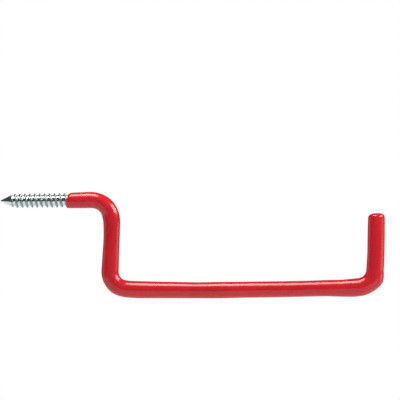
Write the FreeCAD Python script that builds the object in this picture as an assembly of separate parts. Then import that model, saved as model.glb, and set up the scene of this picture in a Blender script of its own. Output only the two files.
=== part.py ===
import FreeCAD, Part
import math
import os

# Screw-in utility hook: a bent steel rod with a lag-screw end, dipped in vinyl.
# The origin lies on the screw's axis where the coating ends, which is the wall's face once the
# screw is driven home. +X points out of the wall, +Z up, and the hook lies in the XZ plane.
# Lengths are in millimetres and angles in degrees.

# Rod and its screw end
rod_diameter = 6.85  # the bar that the thread is rolled on
screw_length = 37.6  # bare screw, from its point to the coating
point_angle = 51.8  # included angle of the point
point_flat = 0.5  # diameter of the blunt tip

# Lag thread, right-hand
thread_diameter = 7.94  # over the crests, 5/16 in
thread_pitch = 25.4 / 9  # nine threads to the inch
thread_depth = 1.087
crest_width = 0.353
flank_angle = 30.0  # each flank against a plane square to the axis
flats_per_turn = 10  # the thread and its core have this many flat sides to a turn
run_out_angle = 45.0  # slope from the crests down to the plain shank
shank_gap = 0.3  # plain shank between the run-out and the coating
joint_overlap = 0.25  # how far bodies that are joined reach into each other

# Coating
coat_thickness = 1.175
edge_thickness = 0.3  # at the very edge of the dip, against the wall
lip_thickness = 0.75  # behind the lip's bevel
lip_length = 1.2  # of the bevel
full_run = 1.03  # of full thickness between the end of the edge's taper and the top bend
cap_thickness = 1.5  # over the rod's cut end
cap_round = 2.85

# Bent shape, along the rod's axis
stand_off = 26.5  # wall to the corner of the top bend
drop_height = 50.9  # top run down to the corner of the lower bend
drop_lean = 2.75  # the drop leans back towards the wall
bar_reach = 151.3  # corner of the lower bend out to the corner of the end bend
bar_dip = 1.7  # depth below the bar's chord at which the tangents of its bow meet
upright_height = 41.85  # corner of the end bend up to the coated end
upright_lean = 2.0  # the upright leans outwards
top_bend_radius = 12.0
lower_bend_radius = 10.3
end_bend_radius = 9.7
bow_run_out = 6.51  # straight bar between its bow and the lower bend

# Sizes that follow from those above
rod_radius = rod_diameter / 2
thread_radius = thread_diameter / 2
root_radius = thread_radius - thread_depth
run_out_length = (thread_radius - rod_radius) / math.tan(math.radians(run_out_angle))
last_crest = -shank_gap - run_out_length - crest_width / 2  # on top of the screw
edge_radius = rod_radius + edge_thickness
lip_radius = rod_radius + lip_thickness
coat_radius = rod_radius + coat_thickness

Vector = FreeCAD.Vector
ORIGIN = Vector(0, 0, 0)
AXIS_X = Vector(1, 0, 0)
AXIS_Z = Vector(0, 0, 1)


def slope(angle):
    """Rise over run of a line at this angle."""
    return math.tan(math.radians(angle))


def turned(stations):
    """Solid of revolution about the X axis through (place on the axis, radius) stations."""
    first = Vector(stations[0][0], 0, 0)
    last = Vector(stations[-1][0], 0, 0)
    outline = [Vector(place, 0, radius) for place, radius in stations]
    return Part.Face(Part.makePolygon([first, *outline, last, first])).revolve(ORIGIN, AXIS_X, 360)


def flat_sided_core():
    """Core of the screw at the thread's root, with its corners where the ridge is jointed."""
    start = -screw_length - joint_overlap
    end = joint_overlap - shank_gap
    corner = Vector(start, 0, root_radius)
    turns = [FreeCAD.Rotation(AXIS_X, 360 * side / flats_per_turn) for side in range(flats_per_turn)]
    corners = [turn.multVec(corner) for turn in turns]
    return Part.Face(Part.makePolygon([*corners, corners[0]])).extrude(AXIS_X * (end - start))


def thread_ridge():
    """Ridge of the thread: its section is carried round the screw in steps, and flat sides join them."""
    foot_radius = root_radius - joint_overlap
    half_crest = crest_width / 2
    half_foot = half_crest + (thread_radius - foot_radius) * slope(flank_angle)
    outline = Part.makePolygon([
        Vector(-half_foot, 0, foot_radius),
        Vector(-half_crest, 0, thread_radius),
        Vector(half_crest, 0, thread_radius),
        Vector(half_foot, 0, foot_radius),
        Vector(-half_foot, 0, foot_radius),
    ])
    turns_back = math.ceil(screw_length / thread_pitch)
    sections = []
    for step in range(-turns_back * flats_per_turn, flats_per_turn + 1):
        section = outline.copy()
        section.rotate(ORIGIN, AXIS_X, 360 * step / flats_per_turn)
        section.translate(AXIS_X * (last_crest + thread_pitch * step / flats_per_turn))
        sections.append(section)
    return Part.makeLoft(sections, True, True)


def screw():
    """Screw end: core and ridge, trimmed to the point's cone and to the run-out's."""
    flat_radius = point_flat / 2
    past_crests = thread_radius + joint_overlap
    point_length = (past_crests - flat_radius) / slope(point_angle / 2)
    run_out = (past_crests - rod_radius) / slope(run_out_angle)
    trim = turned([
        (-screw_length, flat_radius),
        (point_length - screw_length, past_crests),
        (-shank_gap - run_out, past_crests),
        (-shank_gap, rod_radius),
        (joint_overlap - shank_gap, rod_radius - joint_overlap),
    ])
    return flat_sided_core().fuse(thread_ridge()).common(trim)


def bend_corners():
    """Corners of the rod's axis up to the coated end, with a shallow one under the bar's middle."""
    top = Vector(stand_off, 0, 0)
    lower = top + Vector(-slope(drop_lean), 0, -1) * drop_height
    end = lower + AXIS_X * bar_reach
    middle = (lower + end) * 0.5 - AXIS_Z * bar_dip
    tip = end + Vector(slope(upright_lean), 0, 1) * upright_height
    return top, lower, middle, end, tip


def tangent_length(before, corner, after, radius):
    """Distance from a corner to the ends of the arc that rounds it."""
    half_angle = (before - corner).getAngle(after - corner) / 2
    return radius / math.tan(half_angle)


def rounded_path(start, shortened):
    """Rod's axis from the top run to its end, shortened there, as straight runs and arcs."""
    top, lower, middle, end, tip = bend_corners()
    lower_tangent = tangent_length(top, lower, middle, lower_bend_radius)
    end_tangent = tangent_length(middle, end, tip, end_bend_radius)
    bow_tangent = (middle - lower).Length - max(lower_tangent, end_tangent) - bow_run_out
    reaches = [
        tangent_length(start, top, lower, top_bend_radius),
        lower_tangent,
        bow_tangent,
        end_tangent,
    ]
    finish = tip - (tip - end).normalize() * shortened
    corners = [start, top, lower, middle, end, finish]
    edges = []
    here = start
    for index, reach in enumerate(reaches, start=1):
        corner = corners[index]
        back = (corners[index - 1] - corner).normalize()
        ahead = (corners[index + 1] - corner).normalize()
        arc_start = corner + back * reach
        arc_end = corner + ahead * reach
        # the arc's middle lies on the corner's bisector
        half_angle = back.getAngle(ahead) / 2
        inset = reach * (1 - math.sin(half_angle)) / math.cos(half_angle)
        arc_middle = corner + (back + ahead).normalize() * inset
        edges.append(Part.makeLine(here, arc_start))
        edges.append(Part.Arc(arc_start, arc_middle, arc_end).toShape())
        here = arc_end
    edges.append(Part.makeLine(here, finish))
    return Part.Wire(edges)


def round_bar(start, shortened, radius):
    """Round section swept along the rod's axis."""
    section = Part.Wire(Part.makeCircle(radius, start, AXIS_X))
    return rounded_path(start, shortened).makePipeShell([section], True, False)


def bent_rod():
    """Plain rod from the thread's run-out to its cut end inside the cap."""
    return round_bar(Vector(-shank_gap, 0, 0), cap_thickness, rod_radius)


def coated_outline():
    """Outside of the coating, filled: bevelled lip, taper, bent bar and rounded end."""
    top, lower, middle, end, tip = bend_corners()
    taper_end = stand_off - tangent_length(ORIGIN, top, lower, top_bend_radius) - full_run
    lip = turned([
        (0, edge_radius),
        (lip_length, lip_radius),
        (taper_end, coat_radius),
    ])
    bar = round_bar(Vector(taper_end, 0, 0), 0, coat_radius)
    cap_edge = [edge for edge in bar.Edges if edge.CenterOfMass.distanceToPoint(tip) < cap_round]
    return lip.fuse(bar.makeFillet(cap_round, cap_edge))


rod = screw().fuse(bent_rod())
coating = coated_outline().cut(bent_rod())

os.makedirs("parts", exist_ok=True)
rod.exportStep("parts/steel_rod.step")
coating.exportStep("parts/vinyl_coating.step")
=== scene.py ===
import math

import bpy
import numpy as np
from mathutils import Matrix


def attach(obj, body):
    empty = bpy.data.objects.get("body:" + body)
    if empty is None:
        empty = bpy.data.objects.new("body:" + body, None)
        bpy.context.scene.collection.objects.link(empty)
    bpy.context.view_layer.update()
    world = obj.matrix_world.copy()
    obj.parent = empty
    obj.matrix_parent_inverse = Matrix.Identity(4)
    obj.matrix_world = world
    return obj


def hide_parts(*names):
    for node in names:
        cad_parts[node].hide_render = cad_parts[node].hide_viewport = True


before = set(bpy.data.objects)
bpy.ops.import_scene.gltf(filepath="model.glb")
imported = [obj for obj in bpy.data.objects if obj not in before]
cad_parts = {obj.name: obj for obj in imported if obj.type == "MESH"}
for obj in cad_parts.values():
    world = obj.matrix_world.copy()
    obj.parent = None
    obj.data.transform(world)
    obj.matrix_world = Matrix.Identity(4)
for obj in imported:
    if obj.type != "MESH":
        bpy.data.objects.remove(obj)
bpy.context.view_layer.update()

MM = 0.001
FULL_TURN = 2 * math.pi

# Rod's axis, as in the solids (mm, degrees). Distances along it start at the wall's face.
STAND_OFF = 26.5
DROP_HEIGHT = 50.9
DROP_LEAN = 2.75
BAR_REACH = 151.3
BAR_DIP = 1.7
BOW_RUN_OUT = 6.51
UPRIGHT_HEIGHT = 41.85
UPRIGHT_LEAN = 2.0
TOP_BEND_RADIUS = 12.0
LOWER_BEND_RADIUS = 10.3
END_BEND_RADIUS = 9.7

# Rod and its lag thread (mm, degrees)
ROD_RADIUS = 3.425
SCREW_LENGTH = 37.6
CREST_RADIUS = 4.1
ROOT_RADIUS = 3.0
PITCH = 25.4 / 9
CREST_FLAT = 0.353
FLANK_ANGLE = 30.0
TOP_CREST = -1.02  # place of the last crest on top of the screw
POINT_HALF_ANGLE = 25.9
TIP_RADIUS = 0.25
RUN_OUT = (-0.4, 2.4)  # the thread fades into the plain rod between these places
CREST_SOFTNESS = 0.07  # rounding of the thread's edges, as a share of its depth
POINT_SOFTNESS = 0.05  # rounding where the point's cone cuts the thread

# Coating (mm)
CAP_THICKNESS = 1.5
CAP_RISE = 0.13  # the dome stands this much past the solid's flat end
DOME_HEIGHT = 2.9
DOME_SQUARENESS = 2.5
DOME_SKEW = 0.2  # squarer on the outer side
DOME_TILT = 0.05  # higher on the outer side
LIP_LAG = 1.2  # the dip's edge starts this much later on top than below
LIP_LAG_POWER = 4  # keeps that lag close to the top
LIP_LENGTH_TOP = 2.3
LIP_LENGTH_UNDER = 0.6
LIP_COVER = 0.1  # least cover over the rod at the lip
LIP_END = 4.2  # past the lip all round
COAT_SIDES = (
    # distance from the wall, radius towards the cradle, radius away from it
    (0, 4.30, 4.55),
    (6, 4.45, 4.65),
    (12, 4.70, 4.60),
    (18, 4.65, 4.55),
    (23, 4.85, 4.55),
    (30.5, 4.63, 5.28),  # gathered inside the top bend
    (36, 4.75, 4.75),
    (42, 4.85, 4.45),
    (50, 4.85, 4.65),
    (62, 4.95, 5.00),  # thick round the lower bend
    (71, 4.84, 5.08),
    (75.3, 5.20, 4.54),
    (79, 4.92, 4.76),
    (84, 4.86, 4.95),
    (102, 4.65, 4.80),
    (117, 4.42, 4.80),
    (130, 4.60, 4.80),
    (146, 4.60, 4.60),
    (162, 4.68, 4.60),
    (178, 4.56, 4.60),
    (191, 4.70, 4.65),
    (199, 4.55, 5.10),
    (206, 5.00, 5.50),  # sagged under the bar's end
    (212, 5.38, 5.12),  # fills the end bend
    (216, 5.32, 5.24),
    (219.8, 5.28, 6.40),  # stands out at the outside of the end bend
    (222.8, 5.24, 4.80),
    (227, 5.06, 5.06),
    (234, 4.84, 5.08),
    (246, 4.90, 4.95),
    (256, 4.85, 4.75),
)
SIDE_BLEND = 2.0  # half-length of the bell that rounds the steps between those stations
BELL_REACH = 3  # the bell is cut off at this many half-lengths
BELL_SAMPLES = 8  # to each half-length
SIDE_ROUNDING = 0.1  # where the thinner side changes over
WAVES = (
    # length along the rod, times round it, start of the wave in turns, height
    (37.0, 1, 0.13, 0.020),
    (23.0, 2, 0.41, 0.015),
    (61.0, 0, 0.72, 0.020),
)

# Grids (steps and places in mm)
COAT_COLUMNS = 72
ROD_COLUMNS = 96
THREAD_STEP = PITCH / 32
THREAD_RINGS_END = 3.0  # the rod's rings are fine up to here, inside the lip
COAT_STEP = 0.6
HIDDEN_STEP = 2.0
LIP_RINGS = 15
LIP_RING_POWER = 1.5  # crowds those rings towards the dip's edge
PAST_LIP_RINGS = 8
DOME_RINGS = 22
AXIS_SAMPLES = 12001
AXIS_MARGIN = 2.0  # the axis is sampled this far past the solid's end, for the dome


def rod_runs():
    """Distances and headings (radians) at the ends of the rod's straight runs, from the screw's tip."""
    def lean(angle):
        return math.tan(math.radians(angle))

    start = np.array([-SCREW_LENGTH, 0.0])
    top = np.array([STAND_OFF, 0.0])
    lower = top + DROP_HEIGHT * np.array([-lean(DROP_LEAN), -1])
    end = lower + np.array([BAR_REACH, 0])
    middle = (lower + end) / 2 - np.array([0, BAR_DIP])
    tip = end + UPRIGHT_HEIGHT * np.array([lean(UPRIGHT_LEAN), 1])
    sides = np.diff(np.array([start, top, lower, middle, end, tip]), axis=0)
    lengths = np.hypot(sides[:, 0], sides[:, 1])
    headings = np.unwrap(np.arctan2(sides[:, 1], sides[:, 0]))
    half_turns = np.abs(np.diff(headings)) / 2
    tangents = np.array([TOP_BEND_RADIUS, LOWER_BEND_RADIUS, 0, END_BEND_RADIUS]) * np.tan(half_turns)
    tangents[2] = lengths[2] - max(tangents[1], tangents[3]) - BOW_RUN_OUT
    arcs = 2 * half_turns * tangents / np.tan(half_turns)
    reach = np.concatenate([[0], tangents, [0]])
    straights = lengths - reach[:-1] - reach[1:]
    pieces = np.zeros(len(straights) + len(arcs))
    pieces[0::2] = straights
    pieces[1::2] = arcs
    return np.concatenate([[0], np.cumsum(pieces)]) - SCREW_LENGTH, np.repeat(headings, 2)


RUN_ENDS, RUN_HEADINGS = rod_runs()
COAT_END = RUN_ENDS[-1]
ROD_END = COAT_END - CAP_THICKNESS


def rod_axis(distance):
    """Places (X, Z) and headings of the rod's axis at these distances.

    The heading stays put on a straight run and turns steadily along an arc, so it is read off between
    the ends of the runs. The place is the running sum of short steps, each along its middle heading."""
    fine = np.linspace(RUN_ENDS[0], COAT_END + AXIS_MARGIN, AXIS_SAMPLES)
    heading = np.interp(fine, RUN_ENDS, RUN_HEADINGS)
    middle = (heading[1:] + heading[:-1]) / 2
    step = fine[1] - fine[0]
    x = fine[0] + np.concatenate([[0], np.cumsum(np.cos(middle) * step)])
    z = np.concatenate([[0], np.cumsum(np.sin(middle) * step)])
    return np.interp(distance, fine, x), np.interp(distance, fine, z), np.interp(distance, fine, heading)


def column_angles(columns):
    """Angles of the columns round the rod."""
    return np.arange(columns) * FULL_TURN / columns


def carried(distance, radius):
    """Rings carried along the rod's axis: point = axis + radius * (side * cos angle + Y * sin angle).

    distance and radius have a row for each ring and a column for each angle. Angle 0 is the side that
    lies to the left of the way along the rod: the top of the top run, and the inside of the cradle."""
    x, z, heading = rod_axis(distance)
    angle = column_angles(radius.shape[1])[None, :]
    out = radius * np.cos(angle)
    points = np.stack([x - out * np.sin(heading), radius * np.sin(angle), z + out * np.cos(heading)], axis=-1)
    return points * MM


def closed_skin(name, rings):
    """Object whose skin joins each ring to the next, with the first and last ring closed by a pole.

    The poles are the middles of those two rings. Faces go ring, next ring, next column, which turns
    them outwards where the rings advance along the rod."""
    count, columns = rings.shape[:2]
    vertices = np.concatenate([rings.reshape(-1, 3), [rings[0].mean(axis=0), rings[-1].mean(axis=0)]])
    here = np.arange(columns)
    beside = np.roll(here, -1)
    row = np.arange(count - 1)[:, None] * columns
    quads = np.stack([row + here, row + columns + here, row + columns + beside, row + beside], axis=-1)
    first_pole, last_pole = count * columns, count * columns + 1
    last_row = (count - 1) * columns
    start_fan = np.stack([np.full(columns, first_pole), here, beside], axis=-1)
    end_fan = np.stack([np.full(columns, last_pole), last_row + beside, last_row + here], axis=-1)
    faces = quads.reshape(-1, 4).tolist() + start_fan.tolist() + end_fan.tolist()
    mesh = bpy.data.meshes.new(name)
    mesh.from_pydata(vertices.tolist(), [], faces)
    mesh.shade_smooth()
    mesh.update()
    piece = bpy.data.objects.new(name, mesh)
    bpy.context.scene.collection.objects.link(piece)
    return piece


def eased(value, low, high):
    """0 below low, 1 above high, and between them 3t^2 - 2t^3 of the share t of the way."""
    share = np.clip((value - low) / (high - low), 0, 1)
    return share * share * (3 - 2 * share)


def soft_share(share, softness):
    """Share held between 0 and 1 with rounded corners: half of hypot(s, k) - hypot(s - 1, k) + 1."""
    return (np.hypot(share, softness) - np.hypot(share - 1, softness) + 1) / 2


def rod_radius(place):
    """Radius of the bare rod for each ring and column at these distances.

    The thread's height falls along its flank with the distance from the nearest crest, and that crest
    moves one pitch along the screw for each turn round it. The point's cone cuts the thread off, and
    along the run-out the thread fades into the plain rod."""
    turn = column_angles(place.shape[1])[None, :] / FULL_TURN
    phase = (place - TOP_CREST) / PITCH + turn
    from_crest = np.abs((phase + 0.5) % 1 - 0.5) * PITCH
    depth = CREST_RADIUS - ROOT_RADIUS
    flank = depth * math.tan(math.radians(FLANK_ANGLE))
    height = soft_share((CREST_FLAT / 2 + flank - from_crest) / flank, CREST_SOFTNESS)
    thread = ROOT_RADIUS + depth * height
    plain = eased(place, *RUN_OUT)
    threaded = thread * (1 - plain) + ROD_RADIUS * plain
    cone = TIP_RADIUS + (place + SCREW_LENGTH) * math.tan(math.radians(POINT_HALF_ANGLE))
    # the smaller of the two, rounded where they meet
    return (threaded + cone - np.hypot(threaded - cone, POINT_SOFTNESS)) / 2


def coat_radius(place):
    """Radius of the coating for each ring and column at these distances, without its lip and dome.

    The two sides' radii are read off along the rod and rounded by a bell. Square to them, in front and
    behind, the radius is the smaller of the two, rounded where they cross. From there it swells to each
    side's own with the square of the cosine of the angle, plus waves."""
    angle = column_angles(place.shape[1])[None, :]
    stations, *sides = np.array(COAT_SIDES).T
    margin = 2 * BELL_REACH * SIDE_BLEND
    fine = np.arange(-margin, COAT_END + margin, SIDE_BLEND / BELL_SAMPLES)
    bell = np.exp(-(np.linspace(-BELL_REACH, BELL_REACH, 2 * BELL_REACH * BELL_SAMPLES + 1) ** 2))
    bell /= bell.sum()
    cradle, other = (
        np.interp(place, fine, np.convolve(np.interp(fine, stations, radii), bell, "same"))
        for radii in sides
    )
    front = (cradle + other - np.hypot(cradle - other, SIDE_ROUNDING)) / 2
    side = np.cos(angle)
    radius = front + ((cradle - front) * (side > 0) + (other - front) * (side <= 0)) * side**2
    for length, times, start, height in WAVES:
        radius += height * np.cos(FULL_TURN * (place / length + start) + times * angle)
    return radius


def coating_rings():
    """Rings of the coating: back inside it from the rod's cut end to the lip, then outside to the dome.

    The inside is the rod's own surface. The lip starts later on top than below and rises to the coating
    as 1 - (1 - t)^2, long on top and short below. The dome is a quarter of a superellipse, sheared so that
    it is higher on its outer side, and squarer there."""
    side = np.cos(column_angles(COAT_COLUMNS))[None, :]
    on_top = (1 + side) / 2
    edge = LIP_LAG * on_top**LIP_LAG_POWER
    lip_length = LIP_LENGTH_UNDER + (LIP_LENGTH_TOP - LIP_LENGTH_UNDER) * on_top
    lip = edge + lip_length * np.linspace(0, 1, LIP_RINGS)[:, None] ** LIP_RING_POWER
    past_lip = lip[-1:] + (LIP_END - lip[-1:]) * np.linspace(0, 1, PAST_LIP_RINGS)[1:, None]
    near_edge = np.concatenate([lip, past_lip])

    def level(distance):
        return distance[:, None] + np.zeros_like(side)

    inside = np.concatenate([level(np.arange(ROD_END, LIP_END, -HIDDEN_STEP)), near_edge[::-1]])
    dome_start = COAT_END + CAP_RISE - DOME_HEIGHT
    outside = np.concatenate([near_edge, level(np.arange(LIP_END + COAT_STEP / 2, dome_start, COAT_STEP))])
    outer = coat_radius(outside)
    rod = rod_radius(outside)
    share = np.clip((outside - edge) / lip_length, 0, 1)
    start = rod[:1] + LIP_COVER
    bead = start + (outer - start) * (1 - (1 - share) ** 2)
    outer = np.maximum(bead, rod + LIP_COVER)

    sweep = np.linspace(0, math.pi / 2, DOME_RINGS)[:-1, None]
    power = 2 / (DOME_SQUARENESS - DOME_SKEW * side)
    dome = dome_start + DOME_HEIGHT * np.sin(sweep) ** power
    domed = coat_radius(dome) * np.cos(sweep) ** power
    tilted = dome - DOME_TILT * domed * side * np.sin(sweep)
    hidden = carried(inside, rod_radius(inside))
    return np.concatenate([hidden, carried(outside, outer), carried(tilted, domed)])


def rod_rings():
    """Rings of the rod, from the screw's tip to its cut end inside the coating."""
    threaded = np.arange(-SCREW_LENGTH, THREAD_RINGS_END, THREAD_STEP)
    bent = np.arange(THREAD_RINGS_END + HIDDEN_STEP, ROD_END, HIDDEN_STEP)
    distance = np.concatenate([threaded, bent, [ROD_END]])[:, None] + np.zeros((1, ROD_COLUMNS))
    return carried(distance, rod_radius(distance))


class Wire:
    """A value in a node tree, held by its socket. Arithmetic on it adds Math nodes."""

    def __init__(self, tree, socket=None):
        self.tree = tree
        self.socket = socket

    def node(self, kind, settings=None, sockets=None, output=0):
        """Any other node: its type, its settings, which are set first, and its sockets' values or links."""
        made = self.tree.nodes.new(kind)
        for name, value in (settings or {}).items():
            setattr(made, name, value)
        for name, value in (sockets or {}).items():
            if isinstance(value, Wire):
                self.tree.links.new(value.socket, made.inputs[name])
            else:
                made.inputs[name].default_value = value
        return Wire(self.tree, made.outputs[output] if made.outputs else None)

    def math(self, operation, *values):
        """A Math node on these values."""
        return self.node("ShaderNodeMath", {"operation": operation}, dict(enumerate(values)))

    def __add__(self, other):
        return self.math("ADD", self, other)

    def __sub__(self, other):
        return self.math("SUBTRACT", self, other)

    def __rsub__(self, other):
        return self.math("SUBTRACT", other, self)

    def __mul__(self, other):
        return self.math("MULTIPLY", self, other)

    __radd__ = __add__
    __rmul__ = __mul__

    def between(self, low, high):
        """0 below low and 1 above high, eased between."""
        return self.node(
            "ShaderNodeMapRange",
            {"interpolation_type": "SMOOTHSTEP"},
            {"Value": self, "From Min": low, "From Max": high},
        )

    def tinted(self, low, high):
        """Colour that goes from low to high with this value."""
        # 6 and 7 are the node's colour inputs, and 2 is its colour output
        return self.node(
            "ShaderNodeMix",
            {"data_type": "RGBA"},
            {"Factor": self, 6: (*low, 1), 7: (*high, 1)},
            output=2,
        )

    def noise(self, scale, detail):
        """Noise over this position, with features about 1 / scale metres long."""
        return self.node(
            "ShaderNodeTexNoise", None, {"Vector": self, "Scale": scale, "Detail": detail}
        )

    def axis(self, index):
        """One coordinate of this position."""
        return self.node("ShaderNodeSeparateXYZ", None, {0: self}, output=index)


def new_material(name):
    """Empty material, with a wire on its tree and one on the piece's own coordinates in metres."""
    material = bpy.data.materials.new(name)
    material.use_nodes = True
    material.node_tree.nodes.clear()
    wire = Wire(material.node_tree)
    position = wire.node("ShaderNodeTexCoord", output="Object")
    return material, wire, position


def red_vinyl():
    """Glossy dip-moulded vinyl: a little uneven in colour and gloss, with a fine orange peel."""
    material, wire, position = new_material("red_vinyl_dip")
    cloud = position.noise(scale=55, detail=3.0)
    flow = position.noise(scale=180, detail=2.0)
    peel = position.noise(scale=900, detail=2.0)
    tone = (cloud * 0.65 + flow * 0.35).between(0.3, 0.7)
    bump = wire.node(
        "ShaderNodeBump",
        None,
        {"Strength": 0.04, "Distance": 0.00003, "Height": peel * 0.2 + flow * 0.8},
    )
    skin = wire.node(
        "ShaderNodeBsdfPrincipled",
        None,
        {
            "Base Color": tone.tinted((0.44, 0.0085, 0.0135), (0.49, 0.0105, 0.0165)),
            "Roughness": 0.15 + flow * 0.04 + cloud * 0.03,
            "IOR": 1.53,
            "Normal": bump,
        },
    )
    wire.node("ShaderNodeOutputMaterial", None, {"Surface": skin})
    return material


def zinc_plating():
    """Bright zinc on rolled steel: finely streaked round the screw, rougher on the thread's crests, and with
    painted shade that darkens the crests' colour.
    """
    material, wire, position = new_material("bright_zinc")
    y, z = position.axis(1), position.axis(2)
    # between these radii the crests turn rougher, and their colour is darkened as painted shade
    dull_and_shade_from, dull_and_shade_to = 0.0030, 0.0038  # radii in metres
    crest = wire.math("SQRT", y * y + z * z).between(dull_and_shade_from, dull_and_shade_to)
    grain = position.noise(scale=700, detail=3.0)
    streaked = wire.node("ShaderNodeMapping", None, {"Vector": position, "Scale": (9, 1, 1)})
    streak = streaked.noise(scale=420, detail=3.0)
    # painted shade: the crests' colour is taken down so that they read dark between the lit roots
    tone = (streak * 0.5 + grain * 0.5 - crest * 0.36).between(0, 0.7)
    bump = wire.node(
        "ShaderNodeBump", None, {"Strength": 0.12, "Distance": 0.00002, "Height": streak * 0.6 + grain * 0.4}
    )
    skin = wire.node(
        "ShaderNodeBsdfPrincipled",
        None,
        {
            "Base Color": tone.tinted((0.34, 0.38, 0.40), (0.88, 0.95, 0.96)),
            "Metallic": 1.0,
            "Roughness": 0.10 + grain * 0.06 + crest * 0.30,
            "Normal": bump,
        },
    )
    wire.node("ShaderNodeOutputMaterial", None, {"Surface": skin})
    return material


def dressed(piece, material, node):
    """Gives a piece its material and seats it in the frame in place of a solid."""
    piece.data.materials.append(material)
    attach(piece, "root")
    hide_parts(node)


def floor():
    """Pale table below the hook.

    Near its middle the table takes light and shadow, and further off the camera sees it white.
    Reflections see it a little below white all over."""
    size, height = 1.5, -0.25
    middle_x = 0.072
    white_from, white_to = 0.2, 0.6  # distances from the middle
    mesh = bpy.data.meshes.new("table")
    corners = np.array([[-1, -1, 0], [1, -1, 0], [1, 1, 0], [-1, 1, 0]]) * size / 2 + [middle_x, 0, height]
    mesh.from_pydata(corners.tolist(), [], [[0, 1, 2, 3]])
    piece = bpy.data.objects.new("table", mesh)
    bpy.context.scene.collection.objects.link(piece)
    material, wire, position = new_material("pale_table")
    x, y = position.axis(0) - middle_x, position.axis(1)
    away = wire.math("SQRT", x * x + y * y)
    camera_ray = wire.node("ShaderNodeLightPath", output="Is Camera Ray")
    glossy_ray = wire.node("ShaderNodeLightPath", output="Is Glossy Ray")
    paper = wire.node("ShaderNodeBsdfDiffuse", None, {"Color": (0.88, 0.88, 0.88, 1)})
    white = wire.node("ShaderNodeEmission", None, {"Strength": 0.85 + camera_ray * 0.15})
    whiteness = camera_ray * away.between(white_from, white_to) + glossy_ray
    mixed = wire.node("ShaderNodeMixShader", None, {0: whiteness, 1: paper, 2: white})
    wire.node("ShaderNodeOutputMaterial", None, {"Surface": mixed})
    mesh.materials.append(material)


def studio():
    """White surroundings for the camera.

    Reflections see a white backdrop straight behind the hook, and nearly black elsewhere. The soft
    light comes mostly from the camera's side, with a little more of it from the right."""
    world = bpy.data.worlds.new("studio")
    bpy.context.scene.world = world
    world.use_nodes = True
    world.node_tree.nodes.clear()
    wire = Wire(world.node_tree)
    direction = wire.node("ShaderNodeTexCoord", output="Generated")
    across, along = direction.axis(0), direction.axis(1)
    backdrop = along.between(0.90, 0.99) * 0.94 + 0.06
    ambient = (0 - along).between(-0.7, 0.9) * (0.56 + across * 0.14) + 0.08
    camera_ray = wire.node("ShaderNodeLightPath", output="Is Camera Ray")
    glossy_ray = wire.node("ShaderNodeLightPath", output="Is Glossy Ray")
    through_ray = wire.node("ShaderNodeLightPath", output="Is Transmission Ray")
    seen = wire.math("MAXIMUM", camera_ray, through_ray)
    strength = (1 - seen) * ((1 - glossy_ray) * ambient + glossy_ray * backdrop) + seen
    shade = wire.node("ShaderNodeBackground", None, {"Color": (1, 1, 1, 1), "Strength": strength})
    wire.node("ShaderNodeOutputWorld", None, {"Surface": shade})


def softbox(name, place, target, width, height, power):
    """Rectangular lamp at a place, turned to face a target."""
    lamp = bpy.data.lights.new(name, "AREA")
    lamp.shape = "RECTANGLE"
    lamp.size = width
    lamp.size_y = height
    lamp.energy = power
    piece = bpy.data.objects.new(name, lamp)
    bpy.context.scene.collection.objects.link(piece)
    piece.location = place
    away = np.array(place) - np.array(target)
    away = away / np.linalg.norm(away)
    # the lamp shines along its own -Z, with its width kept level
    turn_about_z = math.atan2(away[0], -away[1])
    piece.rotation_euler = (math.acos(away[2]), 0, turn_about_z)
    piece.visible_camera = False
    return piece


def lamps():
    """Softboxes over the screw, over the bar and up to the right, and dimmer ones at the right and left.

    The fill behind the hook lights its edges and isn't seen in reflections."""
    middle = (0.075, 0, -0.02)
    # place, target, width and height in metres, and power in watts
    softbox("over_screw", (-0.176, -0.11, 0.70), (-0.176, 0, -0.02), 0.408, 0.34, 4.1)
    softbox("over_bar", (0.109, -0.19, 0.70), (0.109, 0, -0.02), 0.162, 0.41, 2.0)
    softbox("upper_right", (0.77, -0.16, 0.39), middle, 0.62, 0.35, 6.2)
    softbox("right_reflector", (0.85, 0.04, -0.136), (0.1, 0, -0.136), 0.54, 0.21, 0.47)
    fill = softbox("rear_fill", (0.075, 1.0, 0.12), middle, 0.7, 0.7, 3.6)
    fill.visible_glossy = False
    softbox("left_card", (-0.70, 0.26, -0.02), middle, 0.68, 0.6, 0.66)


def camera():
    """Camera square to the hook's plane, framed and tilted as the photograph is."""
    frame_width = 0.228
    middle_x, middle_z = 0.0762, -0.00055
    tilt = math.radians(0.55)
    lens, sensor = 600.0, 36.0
    data = bpy.data.cameras.new("camera")
    data.lens = lens
    data.sensor_width = sensor
    piece = bpy.data.objects.new("camera", data)
    bpy.context.scene.collection.objects.link(piece)
    piece.location = (middle_x, -frame_width * lens / sensor, middle_z)
    piece.rotation_euler = (math.pi / 2, tilt, 0)
    bpy.context.scene.camera = piece


camera()
studio()
lamps()
floor()
dressed(closed_skin("lag_screw_rod", rod_rings()), zinc_plating(), "steel_rod")
dressed(closed_skin("vinyl_dip", coating_rings()), red_vinyl(), "vinyl_coating")

bpy.context.scene.view_settings.view_transform = "Standard"
